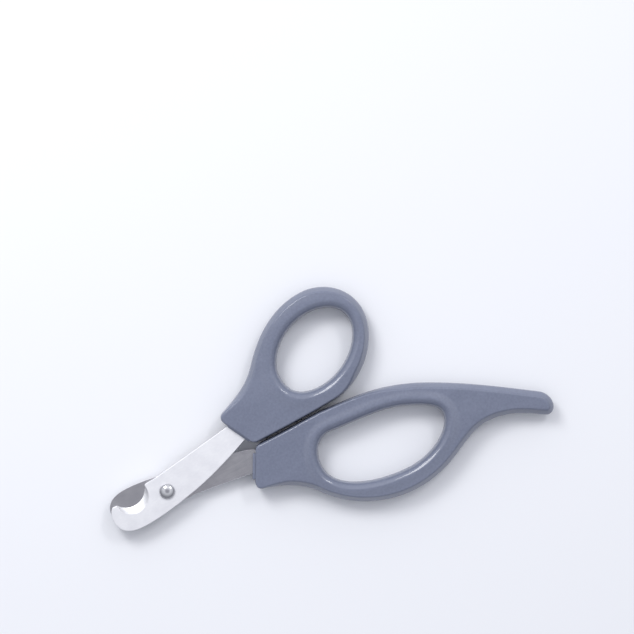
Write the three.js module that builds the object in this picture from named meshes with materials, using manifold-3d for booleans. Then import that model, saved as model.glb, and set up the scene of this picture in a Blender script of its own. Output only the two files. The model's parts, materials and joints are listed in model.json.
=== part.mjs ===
// Scissor-type nail clipper for pets, closed and lying flat on its back.
// Millimetres, +Z up. Each stamped blade has a tang that its plastic handle is moulded over,
// and the two blades turn on one rivet.
//
// The pieces are drawn round the rivet: X runs along the closed blades towards the handles,
// Y towards the thumb ring, and Z = 0 is the plane where the blades slide on each other.
import * as THREE from 'three';
import { mergeVertices } from 'three/addons/utils/BufferGeometryUtils.js';
import Module from 'manifold-3d';

// Blades: two strips of the same stainless sheet.
const BLADE_THICKNESS = 1.8;
const BLADE_GAP = 0.3; // from one blade's sliding face to the other's
const SPINE_Y = -6.35;
const JAW_FRONT_X = -18.6;
const NOTCH = { x: -11, y: 6.4, radius: 5.8, fromBeak: -144, toThroat: -17 };
const GRIND = { x: -10.5, y: 3.6, radius: 5.4, land: 0.4 }; // where the ground bevel meets the face
const GRIND_OVERRUN = 1.5; // the grinding cone's length over the height that it grinds

// Tangs: each strip tapers into its handle, with a hole that the plastic keys into.
const FRONT_TANG = { root: [26.2, 5.9], tip: [41, 9.8], rootHalf: 3.3, tipHalf: 2.3 };
const REAR_TANG = { root: [26.6, 3.7], tip: [40, 8.4], rootHalf: 3.6, tipHalf: 2.3 };
const KEY_HOLE_FROM_TIP = 4;
const KEY_HOLE_RADIUS = 1.3;
const TANG_CLEARANCE = 0.3;
const POCKET_REACH_BACK = 8; // the pocket runs back past the tang's root and out of the handle

// Rivet: domed head in front, peened tail behind.
const RIVET_HEAD_RADIUS = 2.4;
const RIVET_HEAD_HEIGHT = 1.2;
const RIVET_TAIL_RADIUS = 2.6;
const RIVET_TAIL_HEIGHT = 0.8;
const RIVET_TAIL_FLAT = 0.6; // the hammered flat, as a share of the tail's radius
const RIVET_TAIL_SIDE = 0.45; // the tail's upright side, as a share of its height
const RIVET_SHANK_RADIUS = 1.5;
const RIVET_HOLE_RADIUS = 1.8;

// Handles: plates with loops, rounded all along their edges.
const HANDLE_THICKNESS = 8;
const EDGE_ROUND = 1.2;

// How finely curves are cut into straight steps.
const CURVE_STEPS = 9;
const EDGE_ROUND_STEPS = 2;
const GRIND_STEPS = 48;
const RIVET_STEPS = 32;
const RIVET_DOME_STEPS = 5;

const PLASTIC = { color: '#7a8296', roughness: 0.42, metalness: 0 };
const STEEL = { color: '#d8d9dc', roughness: 0.35, metalness: 1 };
const POLISHED = { color: '#e3e3e5', roughness: 0.12, metalness: 1 };

const wasm = await Module();
wasm.setup();

function solid(geometry) {
  const bare = geometry.clone();
  bare.deleteAttribute('normal');
  bare.deleteAttribute('uv');
  const merged = mergeVertices(bare, 1e-4);
  const vertProperties = new Float32Array(merged.attributes.position.array);
  const triVerts = new Uint32Array(merged.index.array);
  return new wasm.Manifold(new wasm.Mesh({ numProp: 3, vertProperties, triVerts }));
}

function geometryOf(manifold) {
  const { vertProperties, triVerts } = manifold.getMesh();
  const geometry = new THREE.BufferGeometry();
  geometry.setAttribute('position', new THREE.BufferAttribute(vertProperties, 3));
  geometry.setIndex(new THREE.BufferAttribute(triVerts, 1));
  geometry.computeVertexNormals();
  return geometry;
}

function cut(geometry, ...tools) {
  return geometryOf(tools.reduce((body, tool) => body.subtract(solid(tool)), solid(geometry)));
}

// A flat plate of a shape, from z = bottom upwards.
function plate(shape, bottom, thickness) {
  const geometry = new THREE.ExtrudeGeometry(shape, {
    depth: thickness,
    bevelEnabled: false,
    curveSegments: CURVE_STEPS,
  });
  return geometry.translate(0, 0, bottom);
}

// The corners of a tapered tang, with a clearance all round, and reaching back past its root.
function tangCorners(tang, clearance, reachBack) {
  const root = new THREE.Vector2(...tang.root);
  const tip = new THREE.Vector2(...tang.tip);
  const along = tip.clone().sub(root);
  const taper = (tang.rootHalf - tang.tipHalf) / along.length();
  along.normalize();
  const across = new THREE.Vector2(-along.y, along.x);
  const startHalf = tang.rootHalf + clearance + taper * reachBack;
  const endHalf = tang.tipHalf + clearance;
  const at = (point, forward, side) => point.clone()
    .addScaledVector(along, forward)
    .addScaledVector(across, side);
  return {
    rootOuter: at(root, -reachBack, startHalf),
    tipOuter: at(tip, clearance, endHalf),
    tipInner: at(tip, clearance, -endHalf),
    rootInner: at(root, -reachBack, -startHalf),
    key: at(tip, -KEY_HOLE_FROM_TIP, 0),
  };
}

function circle(x, y, radius) {
  return new THREE.Path().absarc(x, y, radius, 0, 2 * Math.PI, false);
}

// One blade seen from its outer face: notched jaw, rivet boss, shank and tang. The shank's outer
// edge passes through the points given, and its inner edge bends towards the two pulls.
function bladeShape(tang, outerEdge, innerPulls) {
  const { rootOuter, tipOuter, tipInner, rootInner, key } = tangCorners(tang, 0, 0);
  const radians = THREE.MathUtils.degToRad;
  const shape = new THREE.Shape();
  shape.absarc(NOTCH.x, NOTCH.y, NOTCH.radius, radians(NOTCH.fromBeak), radians(NOTCH.toThroat), false);
  shape.lineTo(-4.9, 5);
  shape.lineTo(-0.5, 5.3);
  shape.splineThru([...outerEdge.map(([x, y]) => new THREE.Vector2(x, y)), rootOuter]);
  shape.lineTo(tipOuter.x, tipOuter.y);
  shape.lineTo(tipInner.x, tipInner.y);
  shape.lineTo(rootInner.x, rootInner.y);
  shape.bezierCurveTo(...innerPulls.flat(), 8, -3.6);
  shape.bezierCurveTo(3, -4.7, -5, SPINE_Y, -11, SPINE_Y);
  shape.bezierCurveTo(-16, SPINE_Y, JAW_FRONT_X, -4.5, JAW_FRONT_X, -0.5);
  shape.quadraticCurveTo(JAW_FRONT_X, 1.8, -17.1, 3.1);
  shape.closePath();
  shape.holes.push(circle(0, 0, RIVET_HOLE_RADIUS), circle(key.x, key.y, KEY_HOLE_RADIUS));
  return shape;
}

// The slanted cone that grinds the bevel: it grows from the cutting edge to the arc on the face.
function grindTool(bottom) {
  const height = BLADE_THICKNESS - GRIND.land;
  const length = height * GRIND_OVERRUN;
  const farRadius = NOTCH.radius + (GRIND.radius - NOTCH.radius) * GRIND_OVERRUN;
  const cone = new THREE.CylinderGeometry(farRadius, NOTCH.radius, length, GRIND_STEPS);
  cone.rotateX(Math.PI / 2).translate(0, 0, length / 2);
  const lean = new THREE.Matrix4().set(
    1, 0, (GRIND.x - NOTCH.x) / height, NOTCH.x,
    0, 1, (GRIND.y - NOTCH.y) / height, NOTCH.y,
    0, 0, 1, bottom + GRIND.land,
    0, 0, 0, 1,
  );
  return cone.applyMatrix4(lean);
}

// A blade lies with its sliding face just above Z = 0 and its outer face up.
function bladeGeometry(tang, outerEdge, innerPulls) {
  const bottom = BLADE_GAP / 2;
  const blank = plate(bladeShape(tang, outerEdge, innerPulls), bottom, BLADE_THICKNESS);
  return cut(blank, grindTool(bottom));
}

// The slot in a handle round a tang, with a plug left standing for the tang's key hole.
function tangPocket(tang) {
  const corners = tangCorners(tang, TANG_CLEARANCE, POCKET_REACH_BACK);
  const { rootOuter, tipOuter, tipInner, rootInner, key } = corners;
  const shape = new THREE.Shape([rootOuter, tipOuter, tipInner, rootInner]);
  shape.holes.push(circle(key.x, key.y, KEY_HOLE_RADIUS - TANG_CLEARANCE));
  const bottom = BLADE_GAP / 2 - TANG_CLEARANCE;
  return plate(shape, bottom, BLADE_THICKNESS + 2 * TANG_CLEARANCE);
}

// A moulded handle: its outline with the finger loop through it, rounded along every edge.
function handleGeometry(shape) {
  const geometry = new THREE.ExtrudeGeometry(shape, {
    depth: HANDLE_THICKNESS - 2 * EDGE_ROUND,
    bevelThickness: EDGE_ROUND,
    bevelSize: EDGE_ROUND,
    bevelOffset: -EDGE_ROUND,
    bevelSegments: EDGE_ROUND_STEPS,
    curveSegments: CURVE_STEPS,
  });
  return geometry.translate(0, 0, EDGE_ROUND - HANDLE_THICKNESS / 2);
}

// Thumb handle: a short neck that swells into an egg-shaped ring.
function thumbShape() {
  const shape = new THREE.Shape();
  shape.moveTo(31.5, 0.7);
  shape.quadraticCurveTo(30, 0.7, 29.2, 1.9);
  shape.lineTo(25.2, 9.4);
  shape.quadraticCurveTo(23.2, 12.4, 25.8, 13.5);
  shape.bezierCurveTo(32, 16, 36, 17.5, 40.2, 22.6);
  shape.bezierCurveTo(45, 28.3, 53, 35.1, 63.5, 35.1);
  shape.bezierCurveTo(71, 35.1, 78, 29.5, 78, 21.5);
  shape.bezierCurveTo(78, 12.5, 69.5, 3, 59, 1.6);
  shape.bezierCurveTo(52, 1, 42, 0.8, 31.5, 0.7);
  const loop = new THREE.Path();
  loop.moveTo(46.2, 15.2);
  loop.bezierCurveTo(46.2, 9.8, 49.5, 7, 55.5, 7);
  loop.bezierCurveTo(64.5, 7, 72.9, 14.5, 72.9, 21);
  loop.bezierCurveTo(72.9, 25.5, 68.5, 28.4, 62.8, 28.4);
  loop.bezierCurveTo(54, 28.4, 46.2, 21.5, 46.2, 15.2);
  shape.holes.push(loop);
  return shape;
}

// Finger handle: a longer loop for two or three fingers, drawn out into a curved tail.
function fingerShape() {
  const shape = new THREE.Shape();
  shape.moveTo(31.5, 0);
  shape.bezierCurveTo(39, -0.3, 46, 0.2, 52, 0.2);
  shape.bezierCurveTo(64, -0.6, 73, -0.9, 84, -6.3);
  shape.bezierCurveTo(95, -11.7, 104.3, -18.2, 114.2, -24.9);
  shape.bezierCurveTo(117.6, -27.4, 117, -32.3, 113.9, -32.5);
  shape.bezierCurveTo(112, -32.7, 106, -25.8, 96, -25.8);
  shape.bezierCurveTo(87.5, -25.8, 82, -34.2, 67, -34.2);
  shape.bezierCurveTo(57.5, -34.2, 47.5, -29.5, 41.5, -22);
  shape.bezierCurveTo(38, -17.2, 33.5, -14.8, 26, -12.7);
  shape.quadraticCurveTo(24.2, -12, 24.9, -9.7);
  shape.lineTo(29.4, -1.2);
  shape.quadraticCurveTo(30, 0, 31.5, 0);
  const loop = new THREE.Path();
  loop.moveTo(45.2, -14.8);
  loop.bezierCurveTo(45.2, -23.5, 59, -27.2, 68.5, -27.2);
  loop.bezierCurveTo(77.5, -27.2, 85.1, -22, 85.1, -17.2);
  loop.bezierCurveTo(85.1, -14, 80, -11.8, 75.5, -9.9);
  loop.bezierCurveTo(69, -7.2, 59, -7.5, 52, -6.6);
  loop.bezierCurveTo(48.5, -6.4, 45.2, -9.6, 45.2, -14.8);
  shape.holes.push(loop);
  return shape;
}

// The rivet turned about its own axis, from the peened tail up to the domed head.
function rivetGeometry() {
  const seat = BLADE_THICKNESS + BLADE_GAP / 2 + BLADE_GAP;
  const profile = [
    new THREE.Vector2(0, -seat - RIVET_TAIL_HEIGHT),
    new THREE.Vector2(RIVET_TAIL_RADIUS * RIVET_TAIL_FLAT, -seat - RIVET_TAIL_HEIGHT),
    new THREE.Vector2(RIVET_TAIL_RADIUS, -seat - RIVET_TAIL_HEIGHT * RIVET_TAIL_SIDE),
    new THREE.Vector2(RIVET_TAIL_RADIUS, -seat),
    new THREE.Vector2(RIVET_SHANK_RADIUS, -seat),
    new THREE.Vector2(RIVET_SHANK_RADIUS, seat),
  ];
  for (let step = 0; step < RIVET_DOME_STEPS; step += 1) {
    const angle = (step / RIVET_DOME_STEPS) * (Math.PI / 2);
    const rise = RIVET_HEAD_HEIGHT * Math.sin(angle);
    profile.push(new THREE.Vector2(RIVET_HEAD_RADIUS * Math.cos(angle), seat + rise));
  }
  profile.push(new THREE.Vector2(0, seat + RIVET_HEAD_HEIGHT));
  return new THREE.LatheGeometry(profile, RIVET_STEPS).rotateX(Math.PI / 2);
}

function piece(name, geometry, finish) {
  const mesh = new THREE.Mesh(geometry, new THREE.MeshStandardMaterial(finish));
  mesh.name = name;
  return mesh;
}

// The front blade's outer edge is straight. The rear blade is turned over, and its outer edge dips
// a little behind the rivet.
const frontGeometry = bladeGeometry(FRONT_TANG, [[12, 7.1]], [[21, 0.2], [14, -2.2]]);
const rearGeometry = bladeGeometry(REAR_TANG, [[6, 4.8], [15, 5.7]], [[24, -1.2], [16, -1.6]]);
const frontBlade = piece('front_blade', frontGeometry, STEEL);
const rearBlade = piece('rear_blade', rearGeometry, STEEL);
rearBlade.rotation.x = Math.PI;

const thumbHandle = piece(
  'thumb_handle',
  cut(handleGeometry(thumbShape()), tangPocket(FRONT_TANG)),
  PLASTIC,
);
const rearPocket = tangPocket(REAR_TANG).rotateX(Math.PI);
const fingerHandle = piece('finger_handle', cut(handleGeometry(fingerShape()), rearPocket), PLASTIC);
const rivet = piece('pivot_rivet', rivetGeometry(), POLISHED);

// The finished part stands on the middle of its underside.
const clipper = new THREE.Group();
clipper.add(frontBlade, rearBlade, thumbHandle, fingerHandle, rivet);
const bounds = new THREE.Box3().setFromObject(clipper);
const middle = bounds.getCenter(new THREE.Vector3());
clipper.position.set(-middle.x, -middle.y, -bounds.min.z);

export default clipper;
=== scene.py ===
# Scissor-action nail clipper for pets. Two notched blades of stainless sheet cross on one rivet,
# and each carries a handle of slate-blue plastic moulded over its tang. Sizes are in millimetres
# round the rivet: X runs along the closed blades to the handles, Y towards the thumb ring, and
# Z = 0 is the plane where the blades slide on each other.
import json
import math

import bmesh
import bpy
from mathutils import Matrix, Vector
from mathutils.geometry import interpolate_bezier
from mathutils.kdtree import KDTree


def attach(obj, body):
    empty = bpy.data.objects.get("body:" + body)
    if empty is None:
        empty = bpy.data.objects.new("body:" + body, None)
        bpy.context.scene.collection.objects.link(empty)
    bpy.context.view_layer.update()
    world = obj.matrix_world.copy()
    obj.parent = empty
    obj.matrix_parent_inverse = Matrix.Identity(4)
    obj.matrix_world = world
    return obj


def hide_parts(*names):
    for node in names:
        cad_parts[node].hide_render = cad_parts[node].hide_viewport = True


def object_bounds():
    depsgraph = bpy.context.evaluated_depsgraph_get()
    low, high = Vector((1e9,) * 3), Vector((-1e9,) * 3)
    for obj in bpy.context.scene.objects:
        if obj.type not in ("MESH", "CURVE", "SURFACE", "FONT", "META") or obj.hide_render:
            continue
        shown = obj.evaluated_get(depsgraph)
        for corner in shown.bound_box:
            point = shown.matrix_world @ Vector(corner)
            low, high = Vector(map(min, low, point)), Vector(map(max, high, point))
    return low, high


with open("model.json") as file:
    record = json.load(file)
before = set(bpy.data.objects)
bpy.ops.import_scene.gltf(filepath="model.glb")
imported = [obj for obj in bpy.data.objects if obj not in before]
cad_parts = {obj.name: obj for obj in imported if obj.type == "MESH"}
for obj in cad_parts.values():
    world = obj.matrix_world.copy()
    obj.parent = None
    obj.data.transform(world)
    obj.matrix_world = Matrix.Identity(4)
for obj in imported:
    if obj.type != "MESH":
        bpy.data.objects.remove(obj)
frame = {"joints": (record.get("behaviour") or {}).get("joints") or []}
cad_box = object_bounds()


# Rear blade. Blanked from 1.8 mm stainless sheet with a D-shaped notch, hardened, and ground
# flat on the sliding face, which is the side that shows between the jaws and along the shank.
# It is the front blade's twin turned over, and its tang is moulded into the finger handle.
MM = 0.001
rivet_axis = Vector(frame["joints"][0]["pos_m"])
sheet = 1.8
slide_clearance = 0.04
spine_y = -6.35
jaw_front_x = -18.6
notch_centre = Vector((-11, 6.4))
notch_radius = 5.8
notch_from = math.radians(-144)
notch_to = math.radians(-17)
grind_centre = Vector((-10.5, 3.6))
grind_radius = 5.4
cutting_land = 0.4
hollow = 0.8
broken_edge = 0.12
flat_margin = 0.12
rivet_hole = 1.62
key_hole = 1.3
key_hole_from_tip = 4
notch_steps = 48
rivet_hole_sides = 48
key_hole_sides = 32
outline_step = 0.6
grind_rows = 6
round_rows = 4
flat_within = 0.001
grind_reach = 3.2
grind_tilt_from = 0.2
grind_tilt_to = 0.97
weld_within = 0.0005
notch_within = 0.01


def traced(start, strokes, spacing):
    """Points about one spacing apart along straight, quadratic and cubic strokes, from a start point.
    A stroke is its end point, with one or two pulls before it where it bends."""
    points = [Vector(start)]
    for stroke in strokes:
        first = points[-1]
        *pulls, last = [Vector(point) for point in stroke]
        if not pulls:
            pulls = [first.lerp(last, 1 / 3), first.lerp(last, 2 / 3)]
        if len(pulls) == 1:
            pulls = [first.lerp(pulls[0], 2 / 3), last.lerp(pulls[0], 2 / 3)]
        steps = max(2, round((last - first).length / spacing))
        points += interpolate_bezier(first, *pulls, last, steps + 1)[1:]
    return points


def smooth_strokes(points):
    """Cubic strokes of one smooth curve through all the points."""
    ends = [points[0], *points, points[-1]]
    spans = zip(ends, ends[1:], ends[2:], ends[3:])
    return [(b + (c - a) / 6, c - (d - b) / 6, c) for a, b, c, d in spans]


def circle(centre, radius, sides):
    """The points of a circle."""
    turns = [2 * math.pi * side / sides for side in range(sides)]
    return [Vector(centre) + radius * Vector((math.cos(turn), math.sin(turn))) for turn in turns]


def rim(points, material_side):
    """Each point of a closed line with its direction into the material, which lies inside
    the line where material_side is 1 and outside it where it is -1."""
    later = points[1:] + points[:1]
    earlier = points[-1:] + points[:-1]
    area = sum(a.x * b.y - a.y * b.x for a, b in zip(points, later))
    turn = material_side * math.copysign(1, area)
    stations = []
    for before, here, after in zip(earlier, points, later):
        along = (after - before).normalized()
        stations.append((here, turn * Vector((-along.y, along.x))))
    return stations


def raised(bm, stations, levels):
    """Draws a rim as an edge loop at the first level and extrudes it to each next one. A level
    gives each station's (inset, height). Returns the first loop's edges and the last loop's."""
    number = bm.verts.layers.int.get("station") or bm.verts.layers.int.new("station")

    def place(vertex, level):
        point, inward = stations[vertex[number]]
        inset, height = level(vertex[number])
        vertex.co = (*(point + inset * inward), height)

    verts = [bm.verts.new() for _ in stations]
    for index, vertex in enumerate(verts):
        vertex[number] = index
        place(vertex, levels[0])
    first = [bm.edges.new(pair) for pair in zip(verts, verts[1:] + verts[:1])]
    edges = first
    for level in levels[1:]:
        grown = bmesh.ops.extrude_edge_only(bm, edges=edges)["geom"]
        for vertex in (item for item in grown if isinstance(item, bmesh.types.BMVert)):
            place(vertex, level)
        edges = [item for item in grown if isinstance(item, bmesh.types.BMEdge) and item.is_boundary]
    return first, edges


def blade_rim_inset(point, height):
    """How far a blade's rim lies inside its blank at a height above the sliding face: the hollow
    grind round the notch, which leaves a cutting land, and the broken edge everywhere else."""
    out = point - notch_centre
    if out.length > notch_radius + notch_within:
        above = max(0, height - (sheet - broken_edge))
        below = max(0, broken_edge / 2 - height)
        inset = broken_edge - math.sqrt(broken_edge**2 - above**2) if above else 0
        return inset + below
    to_grind = grind_centre - notch_centre
    along = to_grind.dot(out.normalized())
    reach = along + math.sqrt(grind_radius**2 - to_grind.length_squared + along**2)
    rise = max(0, height - cutting_land) / (sheet - cutting_land)
    return max(0, reach - notch_radius) * rise**hollow


def blade(tang_root, tang_tip, root_half, tip_half, outer_edge, inner_pulls):
    """A blade in mm with its outer face up: notched jaw, rivet boss, shank and tapered tang."""
    along = (tang_tip - tang_root).normalized()
    across = Vector((-along.y, along.x))
    root_outer = tang_root + root_half * across
    shares = [step / notch_steps for step in range(notch_steps + 1)]
    sweep = [notch_from + (notch_to - notch_from) * share for share in shares]
    jaw = [notch_centre + notch_radius * Vector((math.cos(a), math.sin(a))) for a in sweep]
    boss = Vector((-0.5, 5.3))
    strokes = [
        ((-4.9, 5),),
        (boss,),
        *smooth_strokes([boss, *outer_edge, root_outer]),
        (tang_tip + tip_half * across,),
        (tang_tip - tip_half * across,),
        (tang_root - root_half * across,),
        (*inner_pulls, (8, -3.6)),
        ((3, -4.7), (-5, spine_y), (-11, spine_y)),
        ((-16, spine_y), (jaw_front_x, -4.5), (jaw_front_x, -0.5)),
        ((jaw_front_x, 1.8), (-17.1, 3.1)),
        (jaw[0],),
    ]
    outline = rim(jaw + traced(jaw[-1], strokes, outline_step)[1:-1], 1)
    holes = [
        rim(circle((0, 0), rivet_hole, rivet_hole_sides), -1),
        rim(circle(tang_tip - key_hole_from_tip * along, key_hole, key_hole_sides), -1),
    ]
    grind_height = sheet - cutting_land
    quarter_turns = [math.radians(90 * row / round_rows) for row in range(1, round_rows + 1)]
    heights = [0, broken_edge / 2, cutting_land]
    heights += [cutting_land + grind_height * row / grind_rows for row in range(1, grind_rows)]
    heights += [sheet - broken_edge * (1 - math.sin(turn)) for turn in quarter_turns]
    bm = bmesh.new()
    under = []
    over = []
    for stations in (outline, *holes):

        def place(station, height, margin):
            return blade_rim_inset(stations[station][0], height) + margin, height

        levels = [lambda station, height=height: place(station, height, 0) for height in heights]
        levels.append(lambda station: place(station, sheet, flat_margin))
        first, last = raised(bm, stations, levels)
        under += first
        over += last
    bmesh.ops.triangle_fill(bm, edges=under, use_beauty=True, normal=(0, 0, -1))
    bmesh.ops.triangle_fill(bm, edges=over, use_beauty=True, normal=(0, 0, 1))
    bmesh.ops.translate(bm, verts=bm.verts, vec=(0, 0, slide_clearance))
    return bm


def mark_blade_faces(bm):
    """Gives each face of a blade its finish: 0 the outer face and edges, 1 the sliding face,
    whose darker grey is partly painted shade, 2 the hollow grind, whose lighter grey is partly
    a painted highlight."""
    bm.normal_update()
    for face in bm.faces:
        centre = face.calc_center_median()
        by_notch = (centre.xy - notch_centre).length < grind_radius + grind_reach
        sloped = grind_tilt_from < abs(face.normal.z) < grind_tilt_to
        if centre.z < slide_clearance + flat_within:
            face.material_index = 1
        elif sloped and by_notch and centre.z < sheet:
            face.material_index = 2


def finished_piece(bm, name, body, node, finishes, crease):
    """Makes a mesh drawn in mm round the rivet into a piece that stands for a CAD node. Edges
    sharper than crease, in degrees, stay sharp."""
    bmesh.ops.remove_doubles(bm, verts=bm.verts, dist=weld_within)
    bmesh.ops.recalc_face_normals(bm, faces=bm.faces)
    bmesh.ops.scale(bm, verts=bm.verts, vec=(MM, MM, MM))
    bmesh.ops.translate(bm, verts=bm.verts, vec=rivet_axis)
    for face in bm.faces:
        face.smooth = True
    mesh = bpy.data.meshes.new(name)
    bm.to_mesh(mesh)
    bm.free()
    mesh.set_sharp_from_angle(angle=math.radians(crease))
    for finish in finishes:
        mesh.materials.append(finish)
    piece = bpy.data.objects.new(name, mesh)
    bpy.context.scene.collection.objects.link(piece)
    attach(piece, body)
    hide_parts(node)


def linear(colour):
    """An sRGB hex colour as linear RGBA."""
    shares = [int(colour[at : at + 2], 16) / 255 for at in (1, 3, 5)]
    return [s / 12.92 if s <= 0.04045 else ((s + 0.055) / 1.055) ** 2.4 for s in shares] + [1]


def add_node(tree, kind, inputs, **settings):
    """Adds a shader node, with its settings, and its inputs set to values or linked to sockets."""
    node = tree.nodes.new("ShaderNode" + kind)
    for name, value in settings.items():
        setattr(node, name, value)
    for name, value in inputs.items():
        if isinstance(value, bpy.types.NodeSocket):
            tree.links.new(value, node.inputs[name])
        else:
            node.inputs[name].default_value = value
    return node


def per(size):
    """The texture scale that gives features of a size in mm."""
    return 1 / (size * MM)


# The sum of two noise textures stays near 1. These are the ends that a finish stretches it from,
# for its roughness and for its tone.
two_noises_low = 0.7
two_noises_high = 1.3
tone_low = 0.75
tone_high = 1.25
cloud_size = 3.5


def steel(name, light, dark, roughness, grain, bump):
    """Stainless steel with fine lines along X over slow clouds of tone. Roughness is (lowest,
    highest), grain is (length, width) in mm, and bump is the lines' depth in mm."""
    made = bpy.data.materials.new(name)
    made.use_nodes = True
    tree = made.node_tree
    shader = tree.nodes["Principled BSDF"]
    shader.inputs["Metallic"].default_value = 1
    place = add_node(tree, "TexCoord", {}).outputs["Object"]
    stretch = (per(grain[0]), per(grain[1]), per(grain[1]))
    lines = add_node(tree, "Mapping", {"Vector": place, "Scale": stretch}).outputs[0]
    fine = {"Vector": lines, "Scale": 1, "Detail": 3, "Roughness": 0.6}
    grit = add_node(tree, "TexNoise", fine).outputs[0]
    broad = {"Vector": place, "Scale": per(cloud_size), "Detail": 2}
    cloud = add_node(tree, "TexNoise", broad).outputs[0]
    both = add_node(tree, "Math", {0: grit, 1: cloud}, operation="ADD").outputs[0]
    tones = {"Value": both, "From Min": tone_low, "From Max": tone_high}
    tone = add_node(tree, "MapRange", tones).outputs[0]
    colours = {0: tone, 6: linear(dark), 7: linear(light)}
    colour = add_node(tree, "Mix", colours, data_type="RGBA").outputs[2]
    tree.links.new(colour, shader.inputs["Base Color"])
    spread = {"From Min": two_noises_low, "From Max": two_noises_high}
    rough = {"Value": both, **spread, "To Min": roughness[0], "To Max": roughness[1]}
    tree.links.new(add_node(tree, "MapRange", rough).outputs[0], shader.inputs["Roughness"])
    relief = add_node(tree, "Bump", {"Height": grit, "Distance": bump * MM, "Strength": 1})
    tree.links.new(relief.outputs[0], shader.inputs["Normal"])
    return made


# The outer face is satin from barrel finishing: bright, with short scattered scratches.
# The real grain is about 0.05 mm wide, and is drawn at 0.3 mm so that it shows.
satin_stainless = steel(
    "barrel_satin_stainless", "#e7e7ea", "#e0e0e4", (0.52, 0.58), (0.9, 0.3), 0.002
)
# The sliding face is ground flat: it keeps lines along the shank and mirrors what is above it.
# Its grey is darker than the satin face's, partly from the ground finish and partly painted shade
# for the shank lying deep between the handles.
ground_steel_painted_shade = steel("surface_ground_stainless_painted_shade", "#bcbbbe", "#b3b2b6", (0.22, 0.26), (6, 0.3), 0.0004)
# The hollow grind is left bright from the wheel, and its slope catches the light as a white crescent.
# Its grey is lighter than the satin face's, partly the fresh grind and partly a painted highlight
# that keeps the crescent white.
bright_grind_painted_highlight = steel("wheel_ground_stainless_painted_highlight", "#f6f6f8", "#ebebee", (0.46, 0.54), (1.2, 0.25), 0.002)
blade_finishes = [satin_stainless, ground_steel_painted_shade, bright_grind_painted_highlight]
blade_crease = 28

rear_root = Vector((26.6, 3.7))
rear_tip = Vector((40, 8.4))
rear_outer_edge = [Vector((6, 4.8)), Vector((15, 5.7))]
rear_inner_pulls = [(24, -1.2), (16, -1.6)]
bm = blade(rear_root, rear_tip, 3.6, 2.3, rear_outer_edge, rear_inner_pulls)
mark_blade_faces(bm)
bmesh.ops.rotate(bm, verts=bm.verts, cent=(0, 0, 0), matrix=Matrix.Rotation(math.pi, 3, "X"))
finished_piece(
    bm, "rear_blade_steel", "finger_half", "rear_blade", blade_finishes, blade_crease
)


# Front blade. The same sheet and the same tools as the rear one, seen from its satin outer face.
# Its shank's outer edge is straighter, and its tang is moulded into the thumb handle.
front_root = Vector((26.2, 5.9))
front_tip = Vector((41, 9.8))
front_outer_edge = [Vector((12, 7.1))]
front_inner_pulls = [(21, 0.2), (14, -2.2)]
bm = blade(front_root, front_tip, 3.3, 2.3, front_outer_edge, front_inner_pulls)
mark_blade_faces(bm)
finished_piece(
    bm, "front_blade_steel", "thumb_half", "front_blade", blade_finishes, blade_crease
)


# Pivot rivet. A solid steel rivet with a polished domed head in front; its tail is peened over
# behind the rear blade, flat in the middle from the hammer, and fixed in that blade.
head_radius = 2.4
head_rise = 1.25
head_rim = 0.18
tail_radius = 2.6
tail_rise = 0.8
tail_flat = 0.55
tail_rim = 0.15
tail_steps = 6
shank_radius = 1.5
seat_clearance = 0.02
dome_steps = 12
round_steps = 72
rivet_crease = 35
seat = slide_clearance + sheet + seat_clearance
profile = [(0, -seat - tail_rise), (tail_radius * tail_flat, -seat - tail_rise)]
for step in range(1, tail_steps + 1):
    turn = math.radians(90 * step / tail_steps)
    bulge = tail_radius * (tail_flat + (1 - tail_flat) * math.sin(turn))
    profile.append((bulge, -seat - tail_rim - (tail_rise - tail_rim) * math.cos(turn)))
profile += [(tail_radius, -seat), (shank_radius, -seat), (shank_radius, seat), (head_radius, seat)]
for step in range(dome_steps + 1):
    turn = math.radians(90 * step / dome_steps)
    profile.append((head_radius * math.cos(turn), seat + head_rim + head_rise * math.sin(turn)))

bm = bmesh.new()
verts = [bm.verts.new((max(0, radius), 0, height)) for radius, height in profile]
edges = [bm.edges.new(pair) for pair in zip(verts, verts[1:])]
bmesh.ops.spin(
    bm,
    geom=verts + edges,
    cent=(0, 0, 0),
    axis=(0, 0, 1),
    angle=2 * math.pi,
    steps=round_steps,
    use_merge=True,
)

# Steel polished on a wheel: a dark mirror of the room, clouded a little by handling. The clouds
# are 0.8 mm across. A single noise texture stays between about 0.3 and 0.7.
one_noise_low = 0.3
one_noise_high = 0.7
handling_size = 0.8
polished_steel = bpy.data.materials.new("polished_rivet_steel")
polished_steel.use_nodes = True
tree = polished_steel.node_tree
shader = tree.nodes["Principled BSDF"]
shader.inputs["Metallic"].default_value = 1
place = add_node(tree, "TexCoord", {}).outputs["Object"]
clouds = {"Vector": place, "Scale": per(handling_size), "Detail": 4}
scuffs = add_node(tree, "TexNoise", clouds).outputs[0]
colours = {0: scuffs, 6: linear("#b4b4b8"), 7: linear("#d2d2d5")}
colour = add_node(tree, "Mix", colours, data_type="RGBA").outputs[2]
tree.links.new(colour, shader.inputs["Base Color"])
spread = {"From Min": one_noise_low, "From Max": one_noise_high}
rough = {"Value": scuffs, **spread, "To Min": 0.07, "To Max": 0.18}
tree.links.new(add_node(tree, "MapRange", rough).outputs[0], shader.inputs["Roughness"])
finished_piece(
    bm, "domed_rivet", "finger_half", "pivot_rivet", [polished_steel], rivet_crease
)


# Finger handle. Slate-blue ABS moulded over the rear tang in a two-part tool: a long loop for two
# or three fingers, drawn out into a curved tail. A soft roll runs round the loop, the sides
# bulge to a parting line half way up, and a low collar stands round the blade at the end face.
half_thickness = 4
# How far the flat face lies below the roll round the loop, and how fast the tail falls.
roll_height = 0.42
roll_steps = 9
tail_fall = 0.025
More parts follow.
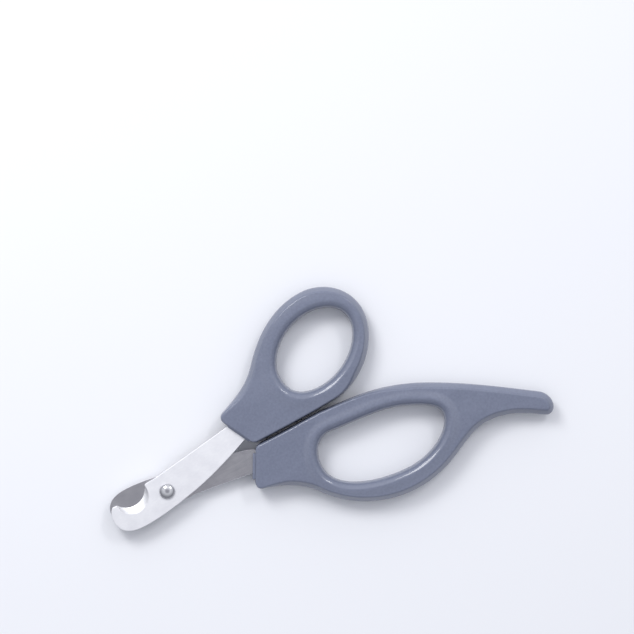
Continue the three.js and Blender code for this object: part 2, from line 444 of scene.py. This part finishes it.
# The widths that the side and the loop's lip take up, seen from above. The side grows from its
# tight width to the full one over end_fade, counted from the end face, and over meeting_fade,
# counted from the gap between the necks.
side_width = 1.85
lip_width = 2.1
tight_width = 0.75
end_fade = 12
meeting_y = 0.5
meeting_half_width = 0.6
meeting_fade = 4
# Along the gap the two necks swell towards each other half way up, so that it closes to a line.
meeting_bulge = 0.2
bulge_fade = 2
# The widest line lies a hair inside the outline, which keeps the piece within its stated size.
outline_trim = 0.01
parting_ridge = 0.07
parting_half_width = 0.12
support = 0.22
room_margin = 0.1
room_step = 0.04
section_step = 0.13
handle_outline_step = 0.5
loop_step = 0.35
collar_half_height = 2.9
collar_sunk = 0.8
collar_round = 0.3
collar_round_steps = 4
handle_crease = 50
# From the parting line up to the face, as shares of the width and the height: the side stands
# upright and then slopes; the lip of the loop ends in a soft chamfer, where a finger bears.
side_strokes = [((0, 0.28), (0.22, 0.42), (0.45, 0.66)), ((0.68, 0.9), (0.78, 1), (1, 1))]
lip_strokes = [((0, 0.35), (0.08, 0.74), (0.43, 0.865)), ((0.62, 0.93), (0.84, 0.992), (1, 1))]
side_section = traced((0, 0), side_strokes, section_step)[1:]
lip_section = traced((0, 0), lip_strokes, section_step)[1:]
# Round the blade's mouth and along the gap between the necks the side stands upright instead,
# with a small round on top.
tight_pulls = [Vector(pull) for pull in ((0, 0), (0, 0.9), (0.1, 1), (1, 1))]
tight_section = interpolate_bezier(*tight_pulls, len(side_section) + 1)[1:]


def eased(share):
    """Goes smoothly from 0 to 1 as share does, and stays there."""
    share = min(1, max(0, share))
    return share * share * (3 - 2 * share)


def tree_of(points):
    """A search tree that finds how near a place is to a line of points."""
    tree = KDTree(len(points))
    for index, point in enumerate(points):
        tree.insert(point.to_3d(), index)
    tree.balance()
    return tree


def moulded_handle(outline, loop, end_face, roll_reach, tail_start=math.inf):
    """A handle in mm. The end face is two points on the line where the blade comes out, the roll
    round the loop sinks to the flat face at roll_reach from the loop's edge, and the face falls
    gently from tail_start onwards."""
    near_outline = tree_of(outline)
    near_loop = tree_of(loop)
    along_end = (end_face[1] - end_face[0]).normalized()
    inward = Vector((along_end.y, -along_end.x))

    def face_height(point):
        from_loop = near_loop.find(point.to_3d())[2]
        sunk = roll_height * eased((from_loop - lip_width) / (roll_reach - lip_width))
        return half_thickness - sunk - tail_fall * max(0, point.x - tail_start)

    def from_end(point):
        return (point - end_face[0]).dot(inward)

    def from_meeting(point):
        return eased((abs(point.y - meeting_y) - meeting_half_width) / meeting_fade)

    def bulge_at(point):
        return meeting_bulge * eased(from_end(point) / bulge_fade) * (1 - from_meeting(point))

    outer = rim(outline, 1)
    softness = [min(eased(from_end(point) / end_fade), from_meeting(point)) for point, _ in outer]
    bulges = [bulge_at(point) for point, _ in outer]
    widths = [tight_width + (side_width - tight_width) * soft for soft in softness]
    tops = [face_height(p + (b + parting_ridge) * i) for (p, i), b in zip(outer, widths)]

    def side_place(station, soft_point, tight_point):
        at = tight_point.lerp(soft_point, softness[station])
        bulge = bulges[station] * (1 - at.y) ** 2
        return parting_ridge + at.x * widths[station] - bulge, at.y * tops[station]

    sides = [
        lambda s: (outline_trim - bulges[s], 0),
        lambda s: (parting_ridge - bulges[s], parting_half_width),
    ]
    for pair in zip(side_section, tight_section):
        sides.append(lambda s, pair=pair: side_place(s, *pair))
    sides.append(lambda s: (parting_ridge + widths[s] + support, tops[s]))

    # Where the ring is narrow, the roll ends sooner, short of the outer side.
    inner = rim(loop, -1)
    side_room = side_width + 2 * support + room_margin
    rooms = []
    for point, away in inner:
        room = roll_reach
        while near_outline.find((point + room * away).to_3d())[2] < side_room:
            room -= room_step
        rooms.append(room)

    def roll_place(station, share):
        point, away = inner[station]
        lip_top = lip_width + parting_ridge
        out = lip_top + (rooms[station] - lip_top) * share
        return out, face_height(point + out * away)

    lips = [lambda s: (0, 0), lambda s: (parting_ridge, parting_half_width)]
    for at in lip_section:
        lips.append(lambda s, at=at: (parting_ridge + at.x * lip_width, at.y * half_thickness))
    for step in range(1, roll_steps + 1):
        lips.append(lambda s, share=step / roll_steps: roll_place(s, share))

    bm = bmesh.new()
    _, outer_top = raised(bm, outer, sides)
    _, inner_top = raised(bm, inner, lips)
    bmesh.ops.triangle_fill(bm, edges=outer_top + inner_top, use_beauty=True, normal=(0, 0, 1))
    upper_half = bm.verts[:] + bm.edges[:] + bm.faces[:]
    bmesh.ops.mirror(bm, geom=upper_half, axis="Z", merge_dist=0.001)
    return bm


def add_collar(bm, end_face, first, last, proud):
    """Adds the low collar round the blade: first and last are shares of the end face, and it
    stands proud of it."""
    along = end_face[1] - end_face[0]
    outward = Vector((-along.y, along.x)).normalized()
    size = ((last - first) * along.length, proud + collar_sunk, 2 * collar_half_height)
    middle = end_face[0].lerp(end_face[1], (first + last) / 2) + outward * (proud - collar_sunk) / 2
    made = bmesh.ops.create_cube(bm, size=1)["verts"]
    bmesh.ops.scale(bm, verts=made, vec=size)
    angle = math.atan2(along.y, along.x)
    bmesh.ops.rotate(bm, verts=made, cent=(0, 0, 0), matrix=Matrix.Rotation(angle, 3, "Z"))
    bmesh.ops.translate(bm, verts=made, vec=middle.to_3d())
    edges = list({edge for vertex in made for edge in vertex.link_edges})
    bmesh.ops.bevel(
        bm,
        geom=edges,
        offset=collar_round,
        offset_type="OFFSET",
        affect="EDGES",
        segments=collar_round_steps,
        profile=0.5,
        material=-1,
    )


flow_length = 30
flow_width = 9
speck_size = 0.7
peel_size = 0.6
peel_depth = 0.004


def moulded_plastic(name, light, dark):
    """Semi-gloss ABS from a polished tool: a clear line of light on every round edge, over slight
    flow marks, a faint orange peel and tiny scuffs. Sizes are in mm."""
    made = bpy.data.materials.new(name)
    made.use_nodes = True
    tree = made.node_tree
    shader = tree.nodes["Principled BSDF"]
    shader.inputs["IOR"].default_value = 1.53
    shader.inputs["Specular IOR Level"].default_value = 0.25
    shader.inputs["Coat Weight"].default_value = 0.65
    shader.inputs["Coat Roughness"].default_value = 0.05
    place = add_node(tree, "TexCoord", {}).outputs["Object"]
    stretch = (per(flow_length), per(flow_width), per(flow_width))
    flow_lines = add_node(tree, "Mapping", {"Vector": place, "Scale": stretch}).outputs[0]
    marks = {"Vector": flow_lines, "Scale": 1, "Detail": 3, "Distortion": 0.6}
    flow = add_node(tree, "TexNoise", marks).outputs[0]
    scuffs = {"Vector": place, "Scale": per(speck_size), "Detail": 3}
    speck = add_node(tree, "TexNoise", scuffs).outputs[0]
    both = add_node(tree, "Math", {0: flow, 1: speck}, operation="ADD").outputs[0]
    tones = {"Value": both, "From Min": tone_low, "From Max": tone_high}
    tone = add_node(tree, "MapRange", tones).outputs[0]
    colours = {0: tone, 6: linear(dark), 7: linear(light)}
    colour = add_node(tree, "Mix", colours, data_type="RGBA").outputs[2]
    tree.links.new(colour, shader.inputs["Base Color"])
    spread = {"From Min": one_noise_low, "From Max": one_noise_high}
    rough = {"Value": speck, **spread, "To Min": 0.36, "To Max": 0.42}
    tree.links.new(add_node(tree, "MapRange", rough).outputs[0], shader.inputs["Roughness"])
    orange_peel = {"Vector": place, "Scale": per(peel_size), "Detail": 2}
    peel = add_node(tree, "TexNoise", orange_peel).outputs[0]
    relief = add_node(tree, "Bump", {"Height": peel, "Distance": peel_depth * MM, "Strength": 1})
    tree.links.new(relief.outputs[0], shader.inputs["Normal"])
    return made


slate_abs = moulded_plastic("moulded_slate_abs", "#707689", "#666c7f")
finger_end = [Vector((24.9, -9.7)), Vector((29.4, -1.2))]
finger_roll_reach = 5
finger_tail_start = 84
finger_outline = traced(
    (31.5, 0),
    [
        ((39, -0.3), (46, 0.2), (52, 0.2)),
        ((64, -0.6), (73, -0.9), (84, -6.3)),
        ((95, -11.7), (104.3, -18.2), (114.2, -24.9)),
        ((117.6, -27.4), (117, -32.3), (113.9, -32.5)),
        ((112, -32.7), (106, -25.8), (96, -25.8)),
        ((87.5, -25.8), (82, -34.2), (67, -34.2)),
        ((57.5, -34.2), (47.5, -29.5), (41.5, -22)),
        ((38, -17.2), (33.5, -14.8), (26, -12.7)),
        ((24.2, -12), finger_end[0]),
        (finger_end[1],),
        ((30, 0), (31.5, 0)),
    ],
    handle_outline_step,
)[:-1]
finger_loop = traced(
    (45.2, -14.8),
    [
        ((45.2, -23.5), (59, -27.2), (68.5, -27.2)),
        ((77.5, -27.2), (85.1, -22), (85.1, -17.2)),
        ((85.1, -14), (80, -11.8), (75.5, -9.9)),
        ((69, -7.2), (59, -7.5), (52, -6.6)),
        ((48.5, -6.4), (45.2, -9.6), (45.2, -14.8)),
    ],
    loop_step,
)[:-1]
bm = moulded_handle(finger_outline, finger_loop, finger_end, finger_roll_reach, finger_tail_start)
add_collar(bm, finger_end, 0.09, 0.91, 0.7)
finished_piece(
    bm, "finger_handle_abs", "finger_half", "finger_handle", [slate_abs], handle_crease
)


# Thumb handle. The same plastic moulded over the front tang: a short neck that swells into an
# egg-shaped ring, with the same roll, parting line and collar.
thumb_end = [Vector((25.2, 9.4)), Vector((29.2, 1.9))]
thumb_roll_reach = 6.5
thumb_outline = traced(
    (31.5, 0.7),
    [
        ((30, 0.7), thumb_end[1]),
        (thumb_end[0],),
        ((23.2, 12.4), (25.8, 13.5)),
        ((32, 16), (36, 17.5), (40.2, 22.6)),
        ((45, 28.3), (53, 35.1), (63.5, 35.1)),
        ((71, 35.1), (78, 29.5), (78, 21.5)),
        ((78, 12.5), (69.5, 3), (59, 1.6)),
        ((52, 1), (42, 0.8), (31.5, 0.7)),
    ],
    handle_outline_step,
)[:-1]
thumb_loop = traced(
    (46.2, 15.2),
    [
        ((46.2, 9.8), (49.5, 7), (55.5, 7)),
        ((64.5, 7), (72.9, 14.5), (72.9, 21)),
        ((72.9, 25.5), (68.5, 28.4), (62.8, 28.4)),
        ((54, 28.4), (46.2, 21.5), (46.2, 15.2)),
    ],
    loop_step,
)[:-1]
bm = moulded_handle(thumb_outline, thumb_loop, thumb_end[::-1], thumb_roll_reach)
add_collar(bm, thumb_end[::-1], 0.03, 0.97, 0.2)
finished_piece(
    bm, "thumb_handle_abs", "thumb_half", "thumb_handle", [slate_abs], handle_crease
)


# Floor: a plain pale board that the clipper lies on, in metres, a tenth of a millimetre below it.
# It is painted matt white, so it shows soft shadows and hardly any reflection.
board_radius = 2.5
board_drop = 0.0001
bm = bmesh.new()
bmesh.ops.create_circle(bm, cap_ends=True, radius=board_radius, segments=96)
mesh = bpy.data.meshes.new("pale_board")
bm.to_mesh(mesh)
bm.free()
board = bpy.data.materials.new("matt_white_board")
board.use_nodes = True
shader = board.node_tree.nodes["Principled BSDF"]
shader.inputs["Base Color"].default_value = linear("#e2e3e7")
shader.inputs["Roughness"].default_value = 1
shader.inputs["Specular IOR Level"].default_value = 0.1
mesh.materials.append(board)
floor = bpy.data.objects.new("pale_board", mesh)
floor.location.z = cad_box[0].z - board_drop
bpy.context.scene.collection.objects.link(floor)


# Camera: straight above, looking down on the clipper, which lies at a slant. The frame is 192.7 mm
# wide at the rivet's height, and its middle falls inside the thumb ring.
slant = math.radians(-27.3)
frame_width = 192.7
camera_height = 700
sensor_width = 36
aim = rivet_axis + Vector((64.6, 26.1, 0)) * MM
right = Vector((math.cos(slant), math.sin(slant), 0))
up = Vector((-math.sin(slant), math.cos(slant), 0))
camera_data = bpy.data.cameras.new("camera")
camera_data.sensor_width = sensor_width
camera_data.lens = sensor_width * camera_height / frame_width
camera_data.clip_start = 0.01
camera = bpy.data.objects.new("camera", camera_data)
camera.location = aim + Vector((0, 0, camera_height * MM))
camera.rotation_euler = (0, 0, slant)
bpy.context.scene.collection.objects.link(camera)
bpy.context.scene.camera = camera


# Light: a softbox high beyond the clipper to the left, and a fainter, narrower one farther off to
# the right, so that the plastic's round edges and the rivet have something bright to mirror.
def softbox(name, azimuth, from_zenith, distance, width, height, power):
    """An area light aimed at the clipper. The azimuth is counted from the view's right, upwards.
    Angles are in degrees, sizes in metres and the power is in watts."""
    data = bpy.data.lights.new(name, "AREA")
    data.shape = "RECTANGLE"
    data.size = width
    data.size_y = height
    data.energy = power
    box = bpy.data.objects.new(name, data)
    level = math.cos(math.radians(azimuth)) * right + math.sin(math.radians(azimuth)) * up
    tilt = math.radians(from_zenith)
    towards = math.sin(tilt) * level + math.cos(tilt) * Vector((0, 0, 1))
    box.location = aim + distance * towards
    across = up.cross(towards).normalized()
    box.rotation_euler = Matrix((across, towards.cross(across), towards)).transposed().to_euler()
    bpy.context.scene.collection.objects.link(box)


softbox("left_softbox", 128, 41, 0.6, 0.22, 0.2, 1.7)
softbox("right_softbox", 50, 41, 0.9, 0.12, 0.25, 1.15)

# The surround: a pale grey studio, lightest high beyond the clipper, darker towards the floor and a
# little darker straight overhead, where the camera hangs. The ground steel mirrors that.
surround_strength = 1.62
world = bpy.data.worlds.new("grey_surround")
bpy.context.scene.world = world
world.use_nodes = True
tree = world.node_tree
direction = add_node(tree, "TexCoord", {}).outputs["Generated"]


def dome(centre, stops):
    """Greys that spread round a direction in the sky: each stop is how nearly a place lies in
    that direction, as a cosine, and its grey."""
    facing = add_node(tree, "VectorMath", {0: direction, 1: centre}, operation="DOT_PRODUCT").outputs[1]
    ramp = add_node(tree, "ValToRGB", {0: facing})
    while len(ramp.color_ramp.elements) < len(stops):
        ramp.color_ramp.elements.new(0.5)
    for stop, (position, grey) in zip(ramp.color_ramp.elements, stops):
        stop.position = position
        stop.color = linear(grey)
    return ramp.outputs[0]


lightest = (0.45 * up + Vector((0, 0, 0.89))).normalized()
surround_stops = [(0, "#7c7e84"), (0.3, "#909298"), (0.75, "#cdcfd4"), (1, "#e0e1e6")]
overhead_stops = [(0, "#ffffff"), (0.92, "#ffffff"), (0.975, "#bcbcc0"), (1, "#b0b0b4")]
surround = dome(lightest, surround_stops)
overhead = dome(Vector((0, 0, 1)), overhead_stops)
layers = {0: 1, 6: surround, 7: overhead}
sky = add_node(tree, "Mix", layers, data_type="RGBA", blend_type="MULTIPLY").outputs[2]
background = tree.nodes["Background"]
tree.links.new(sky, background.inputs["Color"])
background.inputs["Strength"].default_value = surround_strength

bpy.context.scene.view_settings.view_transform = "Standard"
